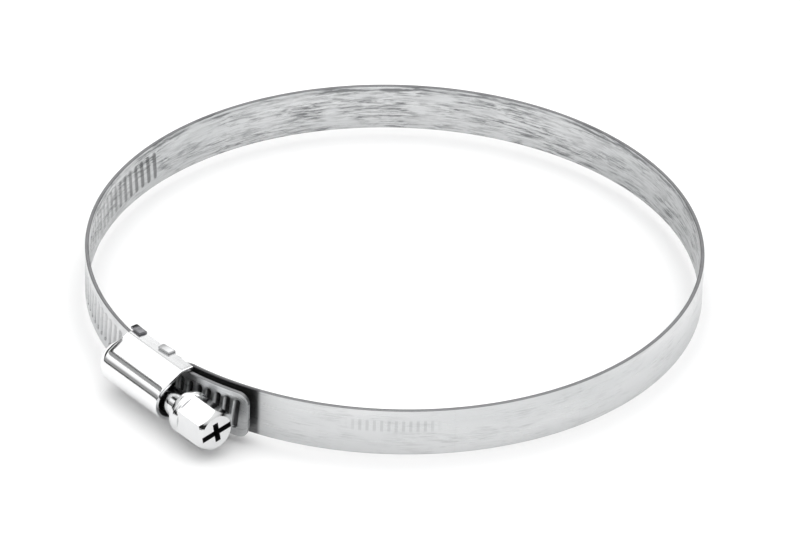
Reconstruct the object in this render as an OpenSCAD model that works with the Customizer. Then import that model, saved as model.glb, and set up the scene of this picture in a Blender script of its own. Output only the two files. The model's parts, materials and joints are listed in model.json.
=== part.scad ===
// Worm-drive hose clamp: a one-piece steel band with a pressed thread, a bell-shaped
// housing clinched on a saddle, and a captive hexagon screw with a cross recess.
// The flexible band is cut into short rigid arcs so that it can close on the hose.

/* [Band] */
// Inner diameter of the loop as drawn, nearly fully open
loop_d = 108.6; // [106:0.1:112]
// Width of the band
band_w = 9; // [8.6:0.1:9.2]
// Thickness of the band
band_t = 0.7; // [0.6:0.05:0.75]
// Number of short moving arcs that the plain part of the band is cut into
arc_count = 20; // [20]
// Angle at which the plain band runs into the threaded tail
tail_root_a = -88; // [-92:1:-84]
// Angle of the tip of the tail, about the centre of the threaded arc
tail_tip_a = 22.8; // [20:0.2:24]

/* [Thread] */
// Pitch of the worm and of the pressed grooves
pitch = 2; // [2]
// Depth of a groove
groove_depth = 0.45; // [0.4:0.05:0.5]
// Length of a groove across the band
groove_len = 5.6; // [5:0.1:6]

/* [Housing] */
// Sheet thickness of the housing
sheet_t = 0.7; // [0.65:0.05:0.75]
// Rear end of the housing along the screw
housing_rear = -6; // [-6.4:0.1:-5.6]
// Front end of the housing along the screw
housing_front = 11.6; // [11:0.1:12]

/* [Screw] */
// Width across the flats of the hexagon head
hex_af = 7; // [6:0.5:8]
// Radius of the flange under the head
flange_r = 4.1; // [3.9:0.05:4.15]
// Height of the hexagon head
hex_h = 6.5; // [5.5:0.1:7]
// Depth of the slot and the cross recess
recess_depth = 2; // [1.6:0.1:2.6]

/* [Hidden] */
$fn = 96;

// radii about the loop's axis
r_in = loop_d / 2;
saddle_t = 0.7;
stub_r = r_in + saddle_t;
plain_end_a = 12;
arc_step = (tail_root_a + 360 - plain_end_a) / (arc_count + 1);
joint_gap = 0.15;

// the fixed end steps down between these angles, just in front of the saddle
joggle_a0 = 7.8;
joggle_a1 = 10.8;

// the threaded arc has its own centre, so that it leaves the loop tangentially at the
// tail's root and clears the fixed end of the band inside the housing
clear_a = -4;
tail_out_a = tail_root_a + 180;
lift = (saddle_t + band_t + 0.1) / (1 + cos(tail_out_a - clear_a));
tail_c = lift * [cos(tail_out_a), sin(tail_out_a)];
tail_r = r_in + lift;
tail_outer = tail_r + band_t;
pitch_r = tail_outer - 0.2;
groove_step = pitch / pitch_r * 180 / PI;
first_groove = floor(-78.5 / groove_step) + 1;
last_groove = floor((tail_tip_a - 1.6) / groove_step);
groove_top = 1.15;
groove_floor = 0.8;

// worm
worm_r = 2.9;
core_r = 1.8;
mesh_depth = 0.3;
worm_x = tail_c[0] + tail_outer - mesh_depth + worm_r;
lead_a = atan(pitch / (2 * PI * (worm_r - mesh_depth / 2)));
thread_rear = -3.4;
thread_front = 9.2;
crest_w = 0.35;
root_w = 1.5;

// housing section
arch_in = worm_r + 0.15;
arch_out = arch_in + sheet_t;
leg_in = band_w / 2 + 0.12;
leg_out = leg_in + sheet_t;
shoulder_x = r_in + 3.1;
foot_x = r_in - 0.2;
// the rear of the arch tapers in behind the worm, to a ring round the screw's pin
taper_len = 2.3;
bell_rear = housing_rear + taper_len;
ring_in = 1.75;
pin_r = 1.5;

// lugs of the saddle, folded about a centre of their own
lug_angles = [-3.3, 4.85];
lug_span = 3.4;
lug_shift = 5;
lug_r = r_in - lug_shift + 0.3;
lug_foot_t = 0.35;
lug_h = 1.7;
lug_t = 0.5;
lug_notch = 3.3;

// screw lengths
neck_r = 2.45;
flange_y = housing_front + 3.9;
flange_t = 1.1;
cone_t = 0.9;
hex_y = flange_y + flange_t + cone_t;
head_end = hex_y + hex_h;

function arc_a(i) = tail_root_a - i * arc_step;
function polar(r, a) = [r * cos(a), r * sin(a)];

// a flat sector from a0 to a1 that reaches past radius r
module wedge(r, a0, a1) {
    steps = ceil((a1 - a0) / 30);
    reach = 1.2 * r;
    polygon(concat([[0, 0]],
        [for (i = [0:steps]) polar(reach, a0 + (a1 - a0) * i / steps)]));
}

// a curved strip from inner radius r, thickness t and width w, between two angles
module strip(r, t, w, a0, a1) {
    translate([0, 0, -w / 2])
        linear_extrude(w)
            intersection() {
                difference() {
                    circle(r + t, $fn = 360);
                    circle(r, $fn = 360);
                }
                wedge(r + t, a0, a1);
            }
}

// one plain arc of the band; its ends stop short of the bending lines
module band_arc(i) {
    end_a = joint_gap / 2 / r_in * 180 / PI;
    color("gainsboro")
        strip(r_in, band_t, band_w, arc_a(i) + end_a, arc_a(i - 1) - end_a);
}

// one pressed groove, cut from outside and slanted to the lead of the worm
module groove() {
    rotate([-lead_a, 0, 0])
        translate([0, 0, -groove_len / 2])
            linear_extrude(groove_len)
                polygon([
                    [-groove_depth, -groove_floor / 2], [-groove_depth, groove_floor / 2],
                    [0, groove_top / 2], [0.5, groove_top / 2 + 0.15],
                    [0.5, -groove_top / 2 - 0.15], [0, -groove_top / 2]]);
}

// the threaded end of the band, from the last plain arc to the free tip
module band_tail() {
    end_a = joint_gap / 2 / tail_r * 180 / PI;
    corner = 1.6;
    color("gainsboro")
        translate([tail_c[0], tail_c[1], 0])
            difference() {
                strip(tail_r, band_t, band_w, tail_root_a + end_a, tail_tip_a);
                for (k = [first_groove:last_groove])
                    rotate([0, 0, k * groove_step])
                        translate([tail_outer, 0, 0])
                            groove();
                for (side = [-1, 1])
                    rotate([0, 0, tail_tip_a])
                        translate([tail_r + band_t / 2, 0, side * band_w / 2])
                            rotate([45, 0, 0])
                                cube([3 * band_t, corner, corner], center = true);
            }
}

// height of the fixed end's inner face above the loop, stepping down off the saddle
function joggle(a) =
    let (u = min(1, max(0, (a - joggle_a0) / (joggle_a1 - joggle_a0))))
        saddle_t * (1 - u * u * (3 - 2 * u));

// the fixed end of the band: it lies on the saddle, steps down and runs out under the tail
module fixed_band_end() {
    steps = 12;
    end_a = joint_gap / 2 / r_in * 180 / PI;
    angles = [for (i = [0:steps]) joggle_a0 + (joggle_a1 - joggle_a0) * i / steps];
    color("silver")
        union() {
            strip(stub_r, band_t, band_w, clear_a + 1, joggle_a0);
            translate([0, 0, -band_w / 2])
                linear_extrude(band_w)
                    polygon(concat(
                        [for (a = angles) polar(r_in + joggle(a), a)],
                        [for (i = [steps:-1:0])
                            polar(r_in + joggle(angles[i]) + band_t, angles[i])]));
            strip(r_in, band_t, band_w, joggle_a1, plain_end_a + arc_step - end_a);
        }
}

// a lug at angle 0: a foot out of the saddle's edge and a tab beside the housing's leg
module lug(side) {
    foot_w = leg_out + lug_t - band_w / 2;
    translate([0, 0, side * (band_w + foot_w) / 2])
        strip(lug_r, lug_foot_t, foot_w, -lug_span / 2, lug_span / 2);
    translate([0, 0, side * (leg_out + lug_t / 2)])
        strip(lug_r, lug_h, lug_t, -lug_span / 2, lug_span / 2);
}

// the bridge under the housing, with four lugs folded up over the housing's legs
module saddle() {
    color("silver") {
        strip(r_in, saddle_t, band_w, -6, 7.5);
        for (a = lug_angles, side = [-1, 1])
            rotate([0, 0, a])
                translate([lug_shift, 0, 0])
                    lug(side);
    }
}

// outline of the bell: upright legs, a sloping shoulder and a round arch
module bell(leg, arch, foot) {
    polygon([
        [foot, -leg], [shoulder_x, -leg], [worm_x, -arch],
        [worm_x, arch], [shoulder_x, leg], [foot, leg]]);
    translate([worm_x, 0])
        circle(arch);
}

// turns an outline in x and z into a prism along the screw, from y0 to y1
module along_screw(y0, y1) {
    translate([0, y1, 0])
        rotate([90, 0, 0])
            linear_extrude(y1 - y0)
                children();
}

// the tapered rear of the arch
module rear_taper() {
    beyond = 0.5;
    slope = (arch_in - ring_in) / taper_len;
    difference() {
        shank(arch_out, housing_rear, bell_rear, ring_in + sheet_t);
        shank(arch_in + slope * beyond, housing_rear - beyond, bell_rear + beyond,
            ring_in - slope * beyond);
        translate([-arch_out - 2, housing_rear - 1, -2 * arch_out])
            cube([arch_out, taper_len + 2, 4 * arch_out]);
    }
}

module housing_shell() {
    color("whitesmoke")
        difference() {
            union() {
                difference() {
                    along_screw(bell_rear, housing_front)
                        bell(leg_out, arch_out, foot_x);
                    along_screw(bell_rear - 1, housing_front + 1)
                        bell(leg_in, arch_in, foot_x - 2);
                }
                translate([worm_x, 0, 0])
                    rear_taper();
            }
            // the feet follow the hose and stop just short of it
            translate([0, 0, -2 * band_w])
                cylinder(r = r_in + 0.55, h = 4 * band_w, $fn = 360);
            // notches for the lugs of the saddle
            for (a = lug_angles)
                strip(r_in, saddle_t + 0.05, 3 * leg_out, a - lug_notch / 2, a + lug_notch / 2);
        }
}

// points of one cross-section of the worm thread, at turn angle a
function thread_section(a, top) = [
    for (p = [[core_r - 0.3, -root_w / 2], [top, -crest_w / 2],
              [top, crest_w / 2], [core_r - 0.3, root_w / 2]])
        [p[0] * cos(a), p[0] * sin(a), p[1] + pitch * (a - 180) / 360]];

// right-handed thread along +z, with a crest at height 0 on the -x side
module worm_thread(z0, z1) {
    per_turn = 30;
    fade = 8;
    a0 = 180 + z0 / pitch * 360;
    n = round((z1 - z0) / pitch * per_turn);
    pts = [for (i = [0:n])
        let (top = core_r + (worm_r - core_r) * min(1, (i + 1) / fade, (n - i + 1) / fade))
            each thread_section(a0 + i * 360 / per_turn, top)];
    sides = [for (i = [0:n - 1], j = [0:3])
        let (k = (j + 1) % 4)
            [4 * i + j, 4 * i + k, 4 * i + 4 + k, 4 * i + 4 + j]];
    polyhedron(pts, concat(sides, [[3, 2, 1, 0], [4 * n, 4 * n + 1, 4 * n + 2, 4 * n + 3]]),
        convexity = 12);
}

// a turned length of the screw from y0 to y1, tapering to r_rear if that is given
module shank(r, y0, y1, r_rear = 0) {
    translate([0, y1, 0])
        rotate([90, 0, 0])
            cylinder(r1 = r, r2 = r_rear > 0 ? r_rear : r, h = y1 - y0);
}

// the head: a flange and a hexagon whose corners are turned off at the end
module screw_head() {
    corner_r = hex_af / 2 / cos(30);
    hex_turn = 27;
    slot_turn = 10.5;
    slot_len = 6.2;
    cross_len = 3.8;
    slot_w = 1.1;
    shank(flange_r, flange_y, flange_y + flange_t, flange_r - 0.2);
    shank(hex_af / 2 + 0.3, flange_y + flange_t, hex_y, flange_r - 0.15);
    difference() {
        intersection() {
            translate([0, head_end, 0])
                rotate([90, hex_turn, 0])
                    cylinder(r = corner_r, h = head_end - hex_y + 0.45, $fn = 6);
            translate([0, head_end, 0])
                rotate([90, 0, 0])
                    cylinder(r1 = hex_af / 2 - 0.1, r2 = hex_af / 2 - 0.1 + 0.6 * (hex_h + 1),
                        h = hex_h + 1);
        }
        // a slot across the head with a shorter cross arm
        for (arm = [[slot_turn, slot_len], [slot_turn + 90, cross_len]])
            rotate([0, arm[0], 0])
                translate([-arm[1] / 2, head_end - recess_depth, -slot_w / 2])
                    cube([arm[1], recess_depth + 1, slot_w]);
    }
}

module worm_screw() {
    color("white")
        translate([worm_x, 0, 0]) {
            shank(pin_r, housing_rear + 0.1, thread_rear - 0.5);
            shank(core_r, thread_rear - 1, housing_front - 1.2);
            shank(neck_r, housing_front - 1.2, flange_y);
            screw_head();
            translate([0, tail_c[1], 0])
                rotate([90, 0, 0])
                    worm_thread(tail_c[1] - thread_front, tail_c[1] - thread_rear);
        }
}

housing_shell();
saddle();
fixed_band_end();
worm_screw();
band_tail();
for (i = [1:arc_count])
    band_arc(i);
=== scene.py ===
import json
import math

import bpy
import numpy as np
from mathutils import Matrix, Vector


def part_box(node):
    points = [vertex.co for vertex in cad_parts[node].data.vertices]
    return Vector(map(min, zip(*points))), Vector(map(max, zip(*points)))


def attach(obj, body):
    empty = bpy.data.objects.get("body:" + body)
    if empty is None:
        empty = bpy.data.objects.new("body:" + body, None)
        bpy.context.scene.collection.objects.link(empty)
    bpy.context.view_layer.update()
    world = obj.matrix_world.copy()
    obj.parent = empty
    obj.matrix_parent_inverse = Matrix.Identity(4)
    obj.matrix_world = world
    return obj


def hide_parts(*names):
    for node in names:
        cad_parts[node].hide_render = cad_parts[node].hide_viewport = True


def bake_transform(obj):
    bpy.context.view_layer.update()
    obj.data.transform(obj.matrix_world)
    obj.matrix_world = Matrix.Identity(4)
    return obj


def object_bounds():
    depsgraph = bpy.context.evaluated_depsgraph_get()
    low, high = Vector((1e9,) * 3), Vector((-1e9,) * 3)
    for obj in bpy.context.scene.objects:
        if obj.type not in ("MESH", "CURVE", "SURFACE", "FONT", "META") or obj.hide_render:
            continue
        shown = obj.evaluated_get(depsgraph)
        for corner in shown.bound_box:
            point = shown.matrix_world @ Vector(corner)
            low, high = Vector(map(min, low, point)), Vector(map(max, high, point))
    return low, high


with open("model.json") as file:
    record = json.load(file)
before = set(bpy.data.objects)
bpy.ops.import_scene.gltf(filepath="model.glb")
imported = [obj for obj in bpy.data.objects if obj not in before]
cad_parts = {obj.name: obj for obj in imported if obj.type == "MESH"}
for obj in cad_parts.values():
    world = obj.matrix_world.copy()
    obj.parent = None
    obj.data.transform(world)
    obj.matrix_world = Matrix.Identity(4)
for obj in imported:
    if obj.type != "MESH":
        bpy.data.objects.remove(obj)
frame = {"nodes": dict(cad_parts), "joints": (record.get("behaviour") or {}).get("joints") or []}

cad_low, cad_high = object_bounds()

# ---------------------------------------------------------------- sizes, in metres
MM = 0.001
BAND_W = 9.0 * MM
BAND_T = 0.7 * MM
BAND_EDGE = 0.17 * MM
PITCH = 2.0 * MM
R_IN = 54.3 * MM
SADDLE_T = 0.7 * MM
# half the gap left between neighbouring pieces of the band
HAIR = 0.005 * MM
ARCS = sorted(n for n in frame["nodes"] if n.startswith("band_arc_"))
JOINTS = {j["child"]: j for j in frame["joints"]}
FEED = JOINTS["band_tail"]
TAIL_C = np.array(FEED["pos_m"][:2])
TAIL_LIFT = float(np.hypot(*TAIL_C))
TAIL_R = R_IN + TAIL_LIFT
ROOT_A = math.radians(-88.0)
TIP_A = math.radians(22.8)
END_A = math.radians(12.0)
ARC_STEP = (ROOT_A + 2 * math.pi - END_A) / (len(ARCS) + 1)
HELD_END_A = math.radians(-3.0)
GROOVE_STEP = PITCH / (TAIL_R + BAND_T - 0.2 * MM)
GROOVE_FIRST_A = math.radians(-78.5)
GROOVE_LAST_A = TIP_A - math.radians(1.6)
WORM_R = 2.9 * MM
# how far the worm's crests reach into the tail's outer face
WORM_MESH = 0.3 * MM
LEAD = PITCH / (2 * math.pi * (WORM_R - WORM_MESH / 2))
WORM_X = JOINTS["screw"]["pos_m"][0]
HOUSING_LOW, HOUSING_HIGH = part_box("housing_shell")
HEAD_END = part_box("worm_screw")[1].y


# ---------------------------------------------------------------- node helpers
class Nodes:
    """A material's or a world's node tree, with short calls for the nodes used here."""

    def __init__(self, owner, shader="Principled BSDF"):
        owner.use_nodes = True
        self.owner = owner
        self.tree = owner.node_tree
        self.shader = self.tree.nodes[shader]

    def put(self, value, socket):
        if isinstance(value, bpy.types.NodeSocket):
            self.tree.links.new(value, socket)
        elif value is not None:
            socket.default_value = value

    def math(self, operation, a, b=None, clamp=False):
        node = self.tree.nodes.new("ShaderNodeMath")
        node.operation = operation
        node.use_clamp = clamp
        self.put(a, node.inputs[0])
        if b is not None:
            self.put(b, node.inputs[1])
        return node.outputs[0]

    def split(self, vector):
        node = self.tree.nodes.new("ShaderNodeSeparateXYZ")
        self.put(vector, node.inputs[0])
        return node.outputs

    def near(self, value, centre, inside, outside, strength=1.0):
        """The strength within one distance of the centre, fading to 0 at another."""
        distance = self.math("ABSOLUTE", self.math("SUBTRACT", value, centre))
        return self.range(distance, inside, outside, strength, 0)

    def attribute(self, name):
        node = self.tree.nodes.new("ShaderNodeAttribute")
        node.attribute_name = name
        return node.outputs["Vector"]

    def scaled(self, vector, scale, shift=(0, 0, 0)):
        node = self.tree.nodes.new("ShaderNodeMapping")
        self.put(vector, node.inputs["Vector"])
        node.inputs["Scale"].default_value = scale
        node.inputs["Location"].default_value = shift
        return node.outputs[0]

    def noise(self, vector, scale, detail=3.0, roughness=0.55, distortion=0.0):
        node = self.tree.nodes.new("ShaderNodeTexNoise")
        self.put(vector, node.inputs["Vector"])
        node.inputs["Scale"].default_value = scale
        node.inputs["Detail"].default_value = detail
        node.inputs["Roughness"].default_value = roughness
        node.inputs["Distortion"].default_value = distortion
        return node.outputs["Fac"]

    def ramp(self, value, *stops):
        node = self.tree.nodes.new("ShaderNodeValToRGB")
        self.put(value, node.inputs["Fac"])
        elements = node.color_ramp.elements
        while len(elements) < len(stops):
            elements.new(0.5)
        for element, (place, shade) in zip(elements, stops):
            element.position = place
            element.color = (*shade, 1) if isinstance(shade, tuple) else (shade,) * 3 + (1,)
        return node.outputs["Color"]

    def mix(self, factor, a, b):
        node = self.tree.nodes.new("ShaderNodeMix")
        node.data_type = "RGBA"
        self.put(factor, node.inputs["Factor"])
        self.put((*a, 1) if isinstance(a, tuple) else a, node.inputs[6])
        self.put((*b, 1) if isinstance(b, tuple) else b, node.inputs[7])
        return node.outputs[2]

    def range(self, value, low, high, to_low, to_high):
        node = self.tree.nodes.new("ShaderNodeMapRange")
        self.put(value, node.inputs["Value"])
        for name, number in zip(("From Min", "From Max", "To Min", "To Max"),
                                (low, high, to_low, to_high)):
            node.inputs[name].default_value = number
        return node.outputs["Result"]

    def bump(self, height, distance, strength=1.0, normal=None):
        node = self.tree.nodes.new("ShaderNodeBump")
        node.inputs["Distance"].default_value = distance
        node.inputs["Strength"].default_value = strength
        self.put(height, node.inputs["Height"])
        if normal is not None:
            self.put(normal, node.inputs["Normal"])
        return node.outputs[0]


# ---------------------------------------------------------------- materials
TICK_HALF_STEP = 0.62 * MM
TICK_HALF_WIDTH = 0.26 * MM
TICKS_ALONG = 210 * MM
TICKS_Z = 1.3 * MM


def ticks(n, along, z, inner):
    """A faint row of short marks on the outer face, most of the way round the loop."""
    row = n.math("LESS_THAN", n.math("PINGPONG", along, TICK_HALF_STEP), TICK_HALF_WIDTH)
    stretch = n.near(along, TICKS_ALONG, 6 * MM, 8.5 * MM)
    height = n.near(z, TICKS_Z, 0.9 * MM, 1.3 * MM)
    mark = n.math("MULTIPLY", n.math("MULTIPLY", row, stretch), height)
    return n.math("MULTIPLY", mark, n.math("SUBTRACT", 1.0, inner))


def rubbed_line_and_shade(n, strip, along, z, blotches):
    """A wavy line just below the strip's upper edge, and painted shade that grows along the
    band.
    """
    wave = n.range(n.noise(n.scaled(strip, (130, 0, 0)), 1.0, 2.0), 0.3, 0.7,
                   3.45 * MM, 4.05 * MM)
    line = n.near(z, wave, 0.08 * MM, 0.3 * MM, 0.7)
    line = n.math("MULTIPLY", line, n.range(blotches, 0.35, 0.55, 0.3, 1))
    # painted shade on the inner face, from 65 to 115 mm along
    painted_shade = n.range(along, 65 * MM, 115 * MM, 0, 0.2)
    return n.math("ADD", line, painted_shade)


def band_steel():
    """Zinc-coated strip: brushed and streaked along its length, more scuffed on its inner
    face, darker where it was sheared, with painted shade in the grooves, under the tail and
    along part of the inner face. The attribute "strip" holds length along the band, z, and a
    number that tells the two faces apart; "face" holds inner face, sheared edge and painted
    shade as 0 to 1."""
    n = Nodes(bpy.data.materials.new("band_steel"))
    strip = n.attribute("strip")
    along, z, _ = n.split(strip)
    inner, sheared, dark = n.split(n.attribute("face"))
    brushed = n.noise(n.scaled(strip, (60, 5200, 1)), 1.0, 4.0, 0.6)
    streaks = n.noise(n.scaled(strip, (260, 2600, 1), (3, 1, 0)), 1.0, 5.0, 0.7, 0.5)
    blotches = n.noise(n.scaled(strip, (120, 300, 1), (7, 5, 0)), 1.0, 3.0, 0.5, 0.6)
    broad = n.noise(n.scaled(strip, (22, 90, 1), (1, 9, 0)), 1.0, 2.0)
    scuffs = n.math("MULTIPLY", n.range(streaks, 0.43, 0.60, 0, 0.8),
                    n.range(blotches, 0.34, 0.6, 0.25, 1))
    faint = n.math("MULTIPLY", n.range(streaks, 0.46, 0.66, 0, 0.32),
                   n.range(blotches, 0.45, 0.6, 0, 1))
    wear_and_shade = n.math("ADD", n.math("MULTIPLY", scuffs, inner), faint, clamp=True)
    marks = n.math("MULTIPLY", ticks(n, along, z, inner), 0.22)
    wear_and_shade = n.math("ADD", wear_and_shade, marks, clamp=True)
    rubbed_and_shade = n.math("MULTIPLY", rubbed_line_and_shade(n, strip, along, z, blotches), inner)
    wear_and_shade = n.math("ADD", wear_and_shade, rubbed_and_shade, clamp=True)
    base = n.mix(n.range(broad, 0.35, 0.65, 0, 1), (0.56, 0.57, 0.575), (0.655, 0.66, 0.665))
    # real wear and marks, and the painted shade on the inner face, darken the base
    base = n.mix(n.math("MULTIPLY", wear_and_shade, 0.85), base, (0.15, 0.155, 0.16))
    base = n.mix(n.math("MULTIPLY", sheared, 0.8), base, (0.10, 0.10, 0.105))
    # painted shade in the grooves and under the tail
    base = n.mix(n.math("MULTIPLY", dark, 0.93), base, (0.035, 0.035, 0.037))
    n.put(base, n.shader.inputs["Base Color"])
    n.shader.inputs["Metallic"].default_value = 1.0
    rough = n.math("ADD", n.range(brushed, 0.3, 0.7, 0.24, 0.40),
                   n.math("MULTIPLY", wear_and_shade, 0.12))
    n.put(rough, n.shader.inputs["Roughness"])
    fine = n.bump(brushed, 0.004 * MM, 0.35)
    n.put(n.bump(n.math("MULTIPLY", wear_and_shade, -1.0), 0.02 * MM, 0.5, fine),
          n.shader.inputs["Normal"])
    return n.owner


def plated_steel(name, colour, rough_low, rough_high):
    """Zinc plate over a pressed or turned surface, with faint brush lines and clouds."""
    n = Nodes(bpy.data.materials.new(name))
    where = n.tree.nodes.new("ShaderNodeTexCoord").outputs["Object"]
    lines = n.noise(n.scaled(where, (900, 60, 900)), 1.0, 4.0, 0.6)
    cloud = n.noise(where, 420.0, 3.0, 0.55)
    dark = tuple(c * 0.96 for c in colour)
    n.put(n.mix(n.range(cloud, 0.35, 0.68, 0, 1), colour, dark), n.shader.inputs["Base Color"])
    n.shader.inputs["Metallic"].default_value = 1.0
    mottle = n.math("ADD", n.math("MULTIPLY", lines, 0.6), n.math("MULTIPLY", cloud, 0.4))
    n.put(n.range(mottle, 0.35, 0.65, rough_low, rough_high), n.shader.inputs["Roughness"])
    n.put(n.bump(lines, 0.003 * MM, 0.3, n.bump(cloud, 0.006 * MM, 0.25)),
          n.shader.inputs["Normal"])
    return n.owner


BAND_MATERIAL = band_steel()
HOUSING_MATERIAL = plated_steel("housing_steel", (0.82, 0.825, 0.83), 0.08, 0.13)
SCREW_MATERIAL = plated_steel("screw_steel", (0.70, 0.705, 0.71), 0.08, 0.14)
# nearly black: painted shade for the head's slot and cross
RECESS_SHADE_MATERIAL = plated_steel("screw_recess_painted_shade", (0.10, 0.10, 0.105), 0.35, 0.5)
FRONT_LUG_MATERIAL = plated_steel("front_lug", (0.62, 0.625, 0.63), 0.42, 0.55)
# a dark copy of the lugs' steel: painted shade on the rear lugs
REAR_LUG_SHADE_MATERIAL = plated_steel("rear_lug_painted_shade", (0.20, 0.20, 0.21), 0.2, 0.32)


# ---------------------------------------------------------------- mesh helpers
def mesh_object(name, points, faces, sharp_edges=()):
    """A smooth-shaded mesh whose listed edges stay sharp."""
    mesh = bpy.data.meshes.new(name)
    mesh.from_pydata([tuple(p) for p in points], [], faces)
    mesh.update()
    mesh.polygons.foreach_set("use_smooth", [True] * len(mesh.polygons))
    if len(sharp_edges):
        wanted = {tuple(sorted(e)) for e in sharp_edges}
        flags = [tuple(sorted(e.vertices)) in wanted for e in mesh.edges]
        attribute = mesh.attributes.new("sharp_edge", "BOOLEAN", "EDGE")
        attribute.data.foreach_set("value", flags)
    obj = bpy.data.objects.new(name, mesh)
    bpy.context.scene.collection.objects.link(obj)
    return obj


def loft(name, rings):
    """A closed tube through rings of points, all with the same count, with sharp ends."""
    rings = np.asarray(rings)
    n, m = rings.shape[:2]
    last = (n - 1) * m
    faces = [(i * m + j, i * m + (j + 1) % m, (i + 1) * m + (j + 1) % m, (i + 1) * m + j)
             for i in range(n - 1) for j in range(m)]
    faces.append(tuple(reversed(range(m))))
    faces.append(tuple(last + j for j in range(m)))
    sharp = [(j, (j + 1) % m) for j in range(m)]
    sharp += [(last + a, last + b) for a, b in sharp]
    return mesh_object(name, rings.reshape(-1, 3), faces, sharp)


def add_vectors(obj, name, values):
    """Stores one vector a point, for the material to read."""
    attribute = obj.data.attributes.new(name, "FLOAT_VECTOR", "POINT")
    attribute.data.foreach_set("vector", np.asarray(values, np.float32).ravel())


def finish_piece(obj, material):
    """Gives a piece its material."""
    obj.data.materials.append(material)
    return obj


# ---------------------------------------------------------------- the band
def smooth(t):
    """0 up to 1 as t goes from 0 to 1, level at both ends."""
    t = np.clip(t, 0, 1)
    return t * t * (3 - 2 * t)


def band_section(across=10):
    """Closed outline of the strip as (height over the inner face, z), with rounded edges.
    It runs up the inner face and down the outer one."""
    half = BAND_W / 2
    start = half - BAND_EDGE
    flat = np.linspace(-start, start, across)
    turns = np.linspace(0, math.pi / 2, 6)[1:-1]
    inner = [(0.0, z) for z in flat]
    outer = [(BAND_T, z) for z in flat[::-1]]
    top = [(BAND_EDGE * (1 - math.cos(t)), start + BAND_EDGE * math.sin(t)) for t in turns]
    top_out = [(BAND_T - h, z) for h, z in reversed(top)]
    tip = [(BAND_EDGE, half), (BAND_T - BAND_EDGE, half)]
    upper = top + tip + top_out
    lower = [(BAND_T - h, -z) for h, z in upper]
    return np.array(inner + upper + outer + lower)


SECTION = band_section()


def mark_band(obj, along, section, dark=None):
    """Stores, for the material, where each point lies on the strip, on which face, and how
    much painted shade darkens it, in a groove or under the tail."""
    n = len(along)
    inner = np.clip(1 - section[:, 0] / (0.5 * BAND_T), 0, 1)
    sheared = smooth((np.abs(section[:, 1]) - BAND_W / 2 + BAND_EDGE) / (0.1 * MM))
    rows = [np.repeat(along, len(section)), np.tile(section[:, 1], n), np.tile(inner, n) * 0.3]
    add_vectors(obj, "strip", np.stack(rows, axis=1))
    dark = np.zeros(n * len(section)) if dark is None else dark.ravel()
    rows = [np.tile(inner, n), np.tile(sheared, n), dark]
    add_vectors(obj, "face", np.stack(rows, axis=1))


def loop_frame(a):
    """Centre, radius and length along the band for angle a of the plain loop."""
    return np.zeros(2), R_IN, (ROOT_A - a) * R_IN


def tail_frame(a):
    """The same for angle a of the threaded arc, which has its own centre."""
    return TAIL_C, TAIL_R, (ROOT_A - a) * TAIL_R


def band_ring(a, where, section=SECTION):
    """The section's outline as points in space, at angle a of a frame."""
    centre, radius, _ = where(a)
    r = radius + section[:, 0]
    return np.stack([centre[0] + r * math.cos(a), centre[1] + r * math.sin(a),
                     section[:, 1]], axis=1)


def band_strip(name, stations, shade_paint=None):
    """A length of band through (angle, frame) stations. An optional function of the angle
    gives painted shadow on its outer face."""
    rings = [band_ring(a, where) for a, where in stations]
    obj = loft(name, rings)
    shade_rows = None
    if shade_paint:
        outer = smooth(SECTION[:, 0] / (0.3 * MM) - 1)
        shade_rows = np.array([shade_paint(a) * outer for a, where in stations])
    mark_band(obj, [where(a)[2] for a, where in stations], SECTION, shade_rows)
    return finish_piece(obj, BAND_MATERIAL)


def angles(start, end, step=math.radians(0.25)):
    """Evenly spaced angles from start to end, about a step apart."""
    count = max(2, int(round(abs(end - start) / step)) + 1)
    return np.linspace(start, end, count)


def boundary(i):
    """Angle at which arc i ends and arc i + 1 starts."""
    return ROOT_A - i * ARC_STEP


def piece_angles(start, end):
    """Stations of a piece from start down to end, a hair short of its neighbours."""
    hair = HAIR / R_IN
    return angles(start - hair, end + hair)


def mid_point(a, where):
    """The middle of the band's section at angle a."""
    centre, radius, _ = where(a)
    r = radius + BAND_T / 2
    return (centre[0] + r * math.cos(a), centre[1] + r * math.sin(a), 0.0)


def bending_band():
    """Each piece covers the stretches on either side of one bending line: the first the
    tail's plain root and arc 01, the others two arcs each."""
    root = ROOT_A + ARC_STEP
    first = band_strip("band_bend_a", [(a, tail_frame if a > ROOT_A else loop_frame)
                                       for a in piece_angles(root, boundary(1))])
    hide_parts("band_arc_01")
    mid_point(root, tail_frame)
    mid_point(boundary(1), loop_frame)
    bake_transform(first)
    for k in range(1, len(ARCS) // 2):
        a, b = f"band_arc_{2 * k:02d}", f"band_arc_{2 * k + 1:02d}"
        start, end = boundary(2 * k - 1), boundary(2 * k + 1)
        piece = band_strip(f"band_bend_{chr(97 + k)}",
                           [(t, loop_frame) for t in piece_angles(start, end)])
        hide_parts(a, b)
        mid_point(start, loop_frame)
        mid_point(end, loop_frame)
        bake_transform(piece)


def joggle(a):
    """Lift of the fixed end over the loop's inner face: it steps down off the saddle."""
    low, high = math.radians(7.8), math.radians(10.8)
    return SADDLE_T * (1 - float(smooth((a - low) / (high - low))))


def fixed_frame(a):
    """The frame of the fixed end, whose length runs on from the last arc."""
    return np.zeros(2), R_IN + joggle(a), (ROOT_A + 2 * math.pi - a) * R_IN


# the painted shadow past the tail's tip fades out here
TAIL_SHADOW_END_A = TIP_A + math.radians(2.1)


def painted_tail_shadow(a):
    """Darkness of the band's outer face: painted shadow under the tail and just past its tip."""
    a = (a + math.pi) % (2 * math.pi) - math.pi
    return 0.82 * (1 - float(smooth((a - TAIL_SHADOW_END_A) / math.radians(0.9))))


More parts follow.
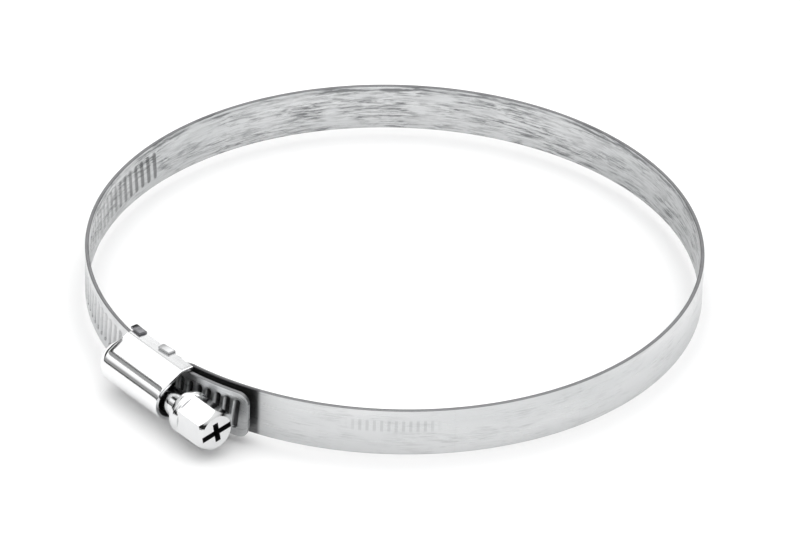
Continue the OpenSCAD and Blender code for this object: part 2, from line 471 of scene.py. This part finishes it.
def fixed_end():
    """The last bending line joins the moving arcs to the end fixed in the housing."""
    last = len(ARCS)
    start, end = boundary(last - 1), boundary(last + 1)
    # both pieces carry the painted shadow under the tail
    bend = band_strip("band_bend_last", [(t, loop_frame) for t in piece_angles(start, end)],
                      shade_paint=painted_tail_shadow)
    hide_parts(ARCS[-1])
    mid_point(end, loop_frame)
    mid_point(start, loop_frame)
    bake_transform(bend)
    held = band_strip("band_fixed_end",
                      [(a, fixed_frame) for a in piece_angles(END_A, HELD_END_A)],
                      shade_paint=painted_tail_shadow)
    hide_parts("fixed_band_end")
    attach(held, "housing")


# ---------------------------------------------------------------- the threaded tail
GROOVE_FLAT = 0.36 * MM
GROOVE_EDGE = 0.34 * MM
GROOVE_HALF = 2.35 * MM
GROOVE_DEPTH = 0.45 * MM
RIDGE_HEIGHT = 0.12 * MM


def groove_depth(a, z):
    """0 to 1 over the pressed grooves: slanted slots with round ends."""
    k_first = math.ceil(GROOVE_FIRST_A / GROOVE_STEP)
    k_last = math.floor(GROOVE_LAST_A / GROOVE_STEP)
    place = a / GROOVE_STEP - LEAD * z / PITCH
    k = np.clip(np.round(place), k_first, k_last)
    u = (place - k) * PITCH
    v = np.maximum(0, np.abs(z) - GROOVE_HALF)
    return smooth((GROOVE_FLAT + GROOVE_EDGE - np.hypot(u, v)) / GROOVE_EDGE)


def tip_width(left, corner=2.0 * MM):
    """Share of the band's width that is left near the tip, whose corners are rounded off."""
    cut = 0.0
    if left < corner:
        cut = corner - math.sqrt(max(0.0, corner**2 - (corner - left) ** 2))
    return 1 - cut / (BAND_W / 2)


def groove_painted_shade(a):
    """Painted shade of the grooves outside, darker towards the tip, and of the ridges inside."""
    outside = 0.30 + 0.68 * smooth((a + math.radians(12)) / math.radians(26))
    inside = 0.70 - 0.38 * smooth((a - math.radians(-72)) / math.radians(20))
    return outside, inside


def tail():
    """The threaded arc. Its outer face is pressed in and its inner face stands out."""
    section = band_section(across=46)
    z = section[:, 1]
    is_inner = section[:, 0] < 1e-9
    is_outer = section[:, 0] > BAND_T - 1e-9
    root = ROOT_A + ARC_STEP + HAIR / TAIL_R
    stations = angles(TIP_A, root, math.radians(0.125))
    rings = []
    dark = []
    for a in stations:
        depth = groove_depth(a, z)
        outside, inside = groove_painted_shade(a)
        # painted shade in the grooves outside and on the ridges inside
        dark.append(depth * (outside * is_outer + inside * is_inner))
        shape = section.copy()
        shape[is_outer, 0] -= GROOVE_DEPTH * depth[is_outer]
        shape[is_inner, 0] -= RIDGE_HEIGHT * depth[is_inner]
        shape[:, 1] *= tip_width((TIP_A - a) * TAIL_R)
        rings.append(band_ring(a, tail_frame, shape))
    obj = loft("band_tail_thread", rings)
    mark_band(obj, [tail_frame(a)[2] for a in stations], section, np.array(dark))
    finish_piece(obj, BAND_MATERIAL)
    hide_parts("band_tail")
    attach(obj, "band_tail")


# ---------------------------------------------------------------- the housing
SHEET = 0.7 * MM
RIM = 0.13 * MM
ARCH_OUT = 3.75 * MM
BELL_REAR = HOUSING_LOW.y + 2.3 * MM
RING_OUT = 2.45 * MM
LEG_OUT = BAND_W / 2 + 0.12 * MM + SHEET
FOOT_X = R_IN + 0.55 * MM
SHOULDER_X = R_IN + 3.1 * MM


def rounded(corners, radius, steps=8):
    """A polyline with each inner corner rounded to a radius."""
    out = [np.array(corners[0])]
    for before, at, after in zip(corners, corners[1:], corners[2:]):
        before, at, after = map(np.array, (before, at, after))
        u = (before - at) / np.linalg.norm(before - at)
        v = (after - at) / np.linalg.norm(after - at)
        half = math.acos(np.clip(u @ v, -1, 1)) / 2
        reach = radius / math.tan(half)
        centre = at + (u + v) / np.linalg.norm(u + v) * radius / math.sin(half)
        p, q = at + u * reach - centre, at + v * reach - centre
        turn = math.atan2(p[0] * q[1] - p[1] * q[0], p @ q)
        for s in np.linspace(0, 1, steps + 1):
            c, k = math.cos(turn * s), math.sin(turn * s)
            out.append(centre + np.array([c * p[0] - k * p[1], k * p[0] + c * p[1]]))
    out.append(np.array(corners[-1]))
    return np.array(out)


def bell_half():
    """Outer outline in (x, z) from the foot of the upper leg to the crown."""
    foot = (FOOT_X, LEG_OUT)
    shoulder = np.array([SHOULDER_X, LEG_OUT])
    centre = np.array([WORM_X, 0.0])
    away = shoulder - centre
    distance = np.linalg.norm(away)
    base = math.atan2(away[1], away[0])
    touch_a = base - math.acos(ARCH_OUT / distance)
    touch = centre + ARCH_OUT * np.array([math.cos(touch_a), math.sin(touch_a)])
    side = rounded([foot, tuple(shoulder), tuple(touch)], 1.3 * MM)
    arch = [centre + ARCH_OUT * np.array([math.cos(t), math.sin(t)])
            for t in np.linspace(touch_a, 0, 26)[1:]]
    return np.vstack([side, arch])


def even(points, count):
    """The same polyline with evenly spaced points."""
    steps = np.linalg.norm(np.diff(points, axis=0), axis=1)
    s = np.concatenate([[0], np.cumsum(steps)])
    at = np.linspace(0, s[-1], count)
    return np.stack([np.interp(at, s, points[:, i]) for i in range(2)], axis=1)


def normals_2d(points):
    """Unit normals of an open outline, to the left of the way it runs."""
    d = np.gradient(points, axis=0)
    d /= np.linalg.norm(d, axis=1)[:, None]
    return np.stack([-d[:, 1], d[:, 0]], axis=1)


def bell_rows(outline):
    """From rear to front: each point's y, and how far the outer and the inner skin lie
    inside the outline there."""
    on_arch = smooth((outline[:, 0] - WORM_X + 0.7 * MM) / (1.8 * MM))
    reach = 0.08 + 0.92 * on_arch
    zero = np.zeros(len(outline))
    rows = []
    # the rear of the arch turns in behind the worm; the legs end soon after that begins
    for u in np.linspace(1, 0, 18):
        drop = (ARCH_OUT - RING_OUT) * u**1.6 * on_arch
        edge = RIM * max(0.0, 1 - (1 - u) * 12) ** 2
        taper = BELL_REAR - (BELL_REAR - HOUSING_LOW.y) * u * reach
        rows.append((taper, drop + edge, drop + SHEET * (1 + 0.25 * u * on_arch) - edge))
    for y in np.linspace(BELL_REAR, HOUSING_HIGH.y - 2 * RIM, 24)[1:]:
        rows.append((zero + y, zero, zero + SHEET))
    for t in np.linspace(0, math.pi / 2, 6)[1:]:
        lip = RIM * (1 - math.cos(t)) + zero
        rows.append((zero + HOUSING_HIGH.y - RIM + RIM * math.sin(t), lip, SHEET - lip))
    return rows


def sheet_mesh(name, rings):
    """A bent sheet through closed rings, each down one skin and back along the other."""
    rings = np.asarray(rings)
    n, m = rings.shape[:2]
    half_m = m // 2
    faces = [(i * m + j, (i + 1) * m + j, (i + 1) * m + (j + 1) % m, i * m + (j + 1) % m)
             for i in range(n - 1) for j in range(m)]
    for i in (0, n - 1):
        for j in range(half_m - 1):
            quad = (i * m + j, i * m + j + 1, i * m + m - 2 - j, i * m + m - 1 - j)
            faces.append(quad if i == 0 else quad[::-1])
    sharp = [(j, (j + 1) % m) for j in range(m)]
    sharp += [(i * m + j, (i + 1) * m + j) for i in range(n - 1)
              for j in (0, half_m - 1, half_m, m - 1)]
    return mesh_object(name, rings.reshape(-1, 3), faces, sharp)


def housing():
    """One pressing: a bell over the band and the worm, turned in behind the worm."""
    half = even(bell_half(), 60)
    outline = np.vstack([half, (half * [1, -1])[::-1][1:]])
    out = normals_2d(outline)
    rings = []
    for y, outer, inner in bell_rows(outline):
        skin = outline - out * outer[:, None]
        lining = outline - out * inner[:, None]
        loop = np.vstack([skin, lining[::-1]])
        rings.append(np.stack([loop[:, 0], np.concatenate([y, y[::-1]]), loop[:, 1]], axis=1))
    obj = sheet_mesh("housing_bell", rings)
    finish_piece(obj, HOUSING_MATERIAL)
    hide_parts("housing_shell")
    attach(obj, "housing")


# ---------------------------------------------------------------- the screw
def lathe(profile, segments=96):
    """Rings of a turned body about the screw's axis, from (y, radius) pairs."""
    turn = np.linspace(0, 2 * math.pi, segments, endpoint=False)
    return [np.stack([WORM_X + r * np.cos(turn), np.full(segments, y), r * np.sin(turn)],
                     axis=1) for y, r in profile]


def soften(profile, radius):
    """The same (y, radius) outline with its corners rounded."""
    out = [profile[0]]
    for a, b, c in zip(profile, profile[1:], profile[2:]):
        a, b, c = map(np.array, (a, b, c))
        u, v = (a - b), (c - b)
        reach = min(radius, np.linalg.norm(u) * 0.45, np.linalg.norm(v) * 0.45)
        u, v = b + u / np.linalg.norm(u) * reach, b + v / np.linalg.norm(v) * reach
        for t in np.linspace(0, 1, 5):
            out.append(tuple((1 - t) ** 2 * u + 2 * t * (1 - t) * b + t * t * v))
    out.append(profile[-1])
    return out


def box_mesh(name, low, high):
    """A plain box, which the head's slot and cross are cut with."""
    (x0, y0, z0), (x1, y1, z1) = low, high
    points = [(x, y, z) for x in (x0, x1) for y in (y0, y1) for z in (z0, z1)]
    faces = [(0, 1, 3, 2), (4, 6, 7, 5), (0, 4, 5, 1), (2, 3, 7, 6), (0, 2, 6, 4), (1, 5, 7, 3)]
    return mesh_object(name, points, faces)


def apply_modifiers(obj):
    """Bakes an object's modifiers into its mesh."""
    bpy.context.view_layer.update()
    evaluated = obj.evaluated_get(bpy.context.evaluated_depsgraph_get())
    mesh = bpy.data.meshes.new_from_object(evaluated)
    obj.modifiers.clear()
    obj.data = mesh


def boolean(obj, other, operation):
    """Cuts one mesh with another, which is then removed."""
    modifier = obj.modifiers.new(operation, "BOOLEAN")
    modifier.operation = operation
    modifier.solver = "EXACT"
    modifier.object = other
    apply_modifiers(obj)
    bpy.data.objects.remove(other)


HEX_AF = 7.0 * MM
HEX_CORNER = HEX_AF / 2 / math.cos(math.radians(30))
HEX_TURN = math.radians(27)
SLOT_TURN = math.radians(10.5)
SLOT_LENGTH = 6.2 * MM
CROSS_LENGTH = 3.8 * MM
SLOT_WIDTH = 1.1 * MM
SLOT_DEPTH = 2.0 * MM
FLANGE_R = 4.1 * MM
FLANGE_T = 1.1 * MM
FLANGE_Y = HOUSING_HIGH.y + 3.9 * MM
NECK_R = 2.45 * MM
HEX_Y = FLANGE_Y + 2.0 * MM


def paint_recess_shade(head):
    """Gives the walls and floor of the slot and the cross a nearly black material: painted shade
    in the recess.
    """
    wide = SLOT_WIDTH / 2 + 0.02 * MM
    head.data.materials.append(RECESS_SHADE_MATERIAL)
    for face in head.data.polygons:
        x, z = face.center.x - WORM_X, face.center.z
        across = abs(x * math.sin(SLOT_TURN) + z * math.cos(SLOT_TURN))
        along = abs(x * math.cos(SLOT_TURN) - z * math.sin(SLOT_TURN))
        slot = across < wide and along < SLOT_LENGTH / 2 + 0.02 * MM
        cross = along < wide and across < CROSS_LENGTH / 2 + 0.02 * MM
        if (slot or cross) and face.center.y < HEAD_END - 0.14 * MM:
            face.material_index = 1


def cut_recess(head):
    """Cuts the slot and the shorter slot that crosses it into the head's end."""
    half = SLOT_WIDTH / 2
    for turn, length in ((SLOT_TURN, SLOT_LENGTH), (SLOT_TURN + math.pi / 2, CROSS_LENGTH)):
        cutter = box_mesh("cutter", (-length / 2, HEAD_END - SLOT_DEPTH, -half),
                          (length / 2, HEAD_END + MM, half))
        cutter.data.transform(Matrix.Translation((WORM_X, 0, 0))
                              @ Matrix.Rotation(turn, 4, "Y"))
        boolean(head, cutter, "DIFFERENCE")


def hexagon():
    """The hexagon head with its turned-off corners, slot and cross."""
    turns = [HEX_TURN + i * math.pi / 3 for i in range(6)]
    rings = [[(WORM_X + HEX_CORNER * math.cos(t), y, -HEX_CORNER * math.sin(t)) for t in turns]
             for y in (HEX_Y - 0.3 * MM, HEAD_END)]
    head = loft("screw_hexagon", rings)
    profile = [(HEX_Y - 1.0 * MM, HEX_CORNER + 3 * MM),
               (HEAD_END - 1.6 * MM, HEX_CORNER + 1.1 * MM),
               (HEAD_END - 0.2 * MM, HEX_AF / 2 - 0.12 * MM),
               (HEAD_END, HEX_AF / 2 - 0.4 * MM)]
    boolean(head, loft("cone", lathe(profile)), "INTERSECT")
    cut_recess(head)
    bevel = head.modifiers.new("bevel", "BEVEL")
    bevel.width = 0.2 * MM
    bevel.segments = 4
    bevel.limit_method = "ANGLE"
    bevel.angle_limit = math.radians(25)
    apply_modifiers(head)
    head.data.polygons.foreach_set("use_smooth", [False] * len(head.data.polygons))
    finish_piece(head, SCREW_MATERIAL)
    paint_recess_shade(head)
    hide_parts("worm_screw")
    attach(head, "screw")


def flange_and_neck():
    """The neck in front of the worm, the flange, and the cone that runs up to the hexagon."""
    y = FLANGE_Y
    rear = y - 5.1 * MM
    middle = 0.3 * MM
    profile = [(rear, middle), (rear, NECK_R), (y - 0.001 * MM, NECK_R),
               (y, FLANGE_R - 0.2 * MM), (y + FLANGE_T, FLANGE_R),
               (y + FLANGE_T + 0.25 * MM, FLANGE_R - 0.25 * MM),
               (HEX_Y, HEX_AF / 2 + 0.25 * MM), (HEX_Y, middle)]
    obj = loft("screw_flange", lathe(soften(profile, 0.16 * MM)))
    finish_piece(obj, SCREW_MATERIAL)
    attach(obj, "screw")


CORE_R = 1.85 * MM
PIN_R = 1.5 * MM
THREAD_REAR, THREAD_FRONT = -3.4 * MM, 9.2 * MM
CREST_HALF = 0.2 * MM
FLANK = 0.55 * MM
WORM_SEGMENTS = 120


def thread_ring(y, turn):
    """One ring of the thread, which fades out towards its two ends."""
    # a crest on the -x side lies in the tail's groove at angle 0
    phase = ((TAIL_C[1] - y) / PITCH - (turn - math.pi) / (2 * math.pi)) % 1.0
    gap = np.minimum(phase, 1 - phase) * PITCH
    height = np.clip((CREST_HALF + FLANK - gap) / FLANK, 0, 1)
    room = min(y - THREAD_REAR, THREAD_FRONT - y) + 0.4 * MM
    fade = np.clip(room / (0.8 * MM), 0, 1)
    r = CORE_R + (WORM_R - CORE_R) * height * fade
    return np.stack([WORM_X + r * np.cos(turn), np.full(len(turn), y), r * np.sin(turn)],
                    axis=1)


def worm():
    """The rear pin and the threaded body, one surface whose radius follows the thread."""
    rear, front = HOUSING_LOW.y + 0.1 * MM, FLANGE_Y - 4.5 * MM
    middle = 0.2 * MM
    turn = np.linspace(0, 2 * math.pi, WORM_SEGMENTS, endpoint=False)
    pin = [(rear, middle), (rear, PIN_R - 0.25 * MM), (rear + 0.25 * MM, PIN_R),
           (THREAD_REAR - 0.5 * MM, PIN_R)]
    rings = lathe(pin, WORM_SEGMENTS)
    rings += [thread_ring(y, turn)
              for y in np.linspace(THREAD_REAR - 0.45 * MM, THREAD_FRONT + 0.5 * MM, 170)]
    rings += lathe([(front, CORE_R), (front, middle)], WORM_SEGMENTS)
    obj = loft("screw_worm", rings)
    finish_piece(obj, SCREW_MATERIAL)
    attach(obj, "screw")


# ---------------------------------------------------------------- the saddle
SADDLE_ENDS = (math.radians(-6), math.radians(7.5))
LUG_ANGLES = (math.radians(-3.3), math.radians(4.85))
LUG_WIDTH = 2.9 * MM
LUG_T = 0.42 * MM
LUG_TOP = R_IN + 1.95 * MM


def lug(a, side):
    """A strip that leaves the saddle's edge, then folds up beside the housing's leg."""
    out = LEG_OUT + 0.05 * MM + LUG_T / 2
    base = R_IN + 0.3 * MM + LUG_T / 2
    path = rounded([(base, BAND_W / 2 - 0.2 * MM), (base, out), (LUG_TOP, out)], 0.34 * MM, 6)
    soft = 0.09 * MM
    t = LUG_T / 2
    half_widths = [LUG_WIDTH / 2] * (len(path) - 1) + [LUG_WIDTH / 2 - soft]
    rings = []
    for p, q, w in zip(path, normals_2d(path), half_widths):
        corners = [(-t, -w + soft), (-t, w - soft), (-t + soft, w), (t - soft, w),
                   (t, w - soft), (t, -w + soft), (t - soft, -w), (-t + soft, -w)]
        rings.append([(p[0] + q[0] * u, v, side * (p[1] + q[1] * u)) for u, v in corners])
    rings = np.array(rings)
    x, y = rings[:, :, 0].copy(), rings[:, :, 1].copy()
    rings[:, :, 0] = x * math.cos(a) - y * math.sin(a)
    rings[:, :, 1] = x * math.sin(a) + y * math.cos(a)
    return loft(f"saddle_lug_{'low' if side < 0 else 'high'}_{'a' if a < 0 else 'b'}", rings)


def saddle():
    """The bridge that carries the fixed end of the band, with its four lugs."""
    plate = band_strip("saddle_plate", [(a, loop_frame) for a in angles(*SADDLE_ENDS)])
    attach(plate, "housing")
    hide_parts("saddle")
    for a in LUG_ANGLES:
        for side in (-1, 1):
            # the rear lugs get the dark copy of the steel: painted shade
            material = REAR_LUG_SHADE_MATERIAL if a < 0 else FRONT_LUG_MATERIAL
            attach(finish_piece(lug(a, side), material), "housing")


# ---------------------------------------------------------------- stage
def floor():
    """A matt, nearly white floor under the object."""
    bpy.ops.mesh.primitive_plane_add(size=6, location=(0, 0, cad_low.z))
    plane = bpy.context.object
    plane.name = "floor"
    n = Nodes(bpy.data.materials.new("floor"))
    n.shader.inputs["Base Color"].default_value = (0.93, 0.93, 0.93, 1)
    n.shader.inputs["Roughness"].default_value = 0.9
    n.shader.inputs["Specular IOR Level"].default_value = 0.1
    plane.data.materials.append(n.owner)


def studio():
    """A white room with a dark band round its horizon and a dark panel on its -y side,
    which the bright steel reflects."""
    world = bpy.data.worlds.new("studio")
    bpy.context.scene.world = world
    bpy.context.scene.view_settings.view_transform = "Standard"
    n = Nodes(world, "Background")
    _, y, z = n.split(n.tree.nodes.new("ShaderNodeTexCoord").outputs["Generated"])
    room = n.ramp(n.range(z, -0.2, 1, 0, 1), (0.10, 1.0), (0.13, 0.01), (0.37, 0.01),
                  (0.45, 0.6), (0.60, 0.85), (0.78, 1.05))
    height = n.math("ABSOLUTE", n.math("SUBTRACT", z, 0.62))
    panel = n.math("MULTIPLY", n.math("LESS_THAN", height, 0.085),
                   n.math("LESS_THAN", y, -0.3))
    n.put(n.mix(panel, room, (0.02, 0.02, 0.02)), n.shader.inputs["Color"])
    n.shader.inputs["Strength"].default_value = 1.3


def area_light(name, place, size, power):
    """A soft box turned to the middle of the object."""
    light = bpy.data.lights.new(name, "AREA")
    light.energy = power
    light.shape = "RECTANGLE"
    light.size, light.size_y = size
    obj = bpy.data.objects.new(name, light)
    bpy.context.scene.collection.objects.link(obj)
    obj.location = place
    obj.rotation_euler = (-place).to_track_quat("-Z", "Y").to_euler()


def lights(side):
    """Soft boxes over, behind and to the left of the object; side is the level direction
    from the object to the camera."""
    left = Vector((side.y, -side.x, 0))
    area_light("over", Vector((0, 0, 0.7)) - side * 0.1, (1.2, 1.2), 2.6)
    area_light("behind", Vector((0, 0, 0.5)) - side * 0.8, (1.0, 0.5), 1.2)
    area_light("left", Vector((0, 0, 0.35)) + left * 0.8, (0.6, 0.6), 0.4)


CAMERA_TURN = math.radians(50)
CAMERA_RISE = math.radians(32.34)
CAMERA_ROLL = math.radians(1.66)
CAMERA_DISTANCE = 1183.75 * MM
CAMERA_LENS = 297.04
CAMERA_SHIFT = (0.00566, 0.0216)


def camera():
    """A long lens 50 degrees round from the housing and 32 degrees up, rolled a little
    about its line of sight and shifted a little. Returns its level direction."""
    side = Vector((math.cos(CAMERA_TURN), math.sin(CAMERA_TURN), 0))
    back = side * math.cos(CAMERA_RISE) + Vector((0, 0, math.sin(CAMERA_RISE)))
    aim = (-back).to_track_quat("-Z", "Y")
    cam = bpy.data.cameras.new("camera")
    cam.sensor_width = 36
    cam.lens = CAMERA_LENS
    cam.clip_start, cam.clip_end = 0.05, 20
    cam.shift_x, cam.shift_y = CAMERA_SHIFT
    obj = bpy.data.objects.new("camera", cam)
    bpy.context.scene.collection.objects.link(obj)
    obj.location = Vector((0, 0, -BAND_W / 2)) + back * CAMERA_DISTANCE
    obj.rotation_mode = "QUATERNION"
    obj.rotation_quaternion = aim @ Matrix.Rotation(CAMERA_ROLL, 4, "Z").to_quaternion()
    bpy.context.scene.camera = obj
    return side


bending_band()
fixed_end()
tail()
housing()
worm()
hexagon()
flange_and_neck()
saddle()
floor()
studio()
lights(camera())
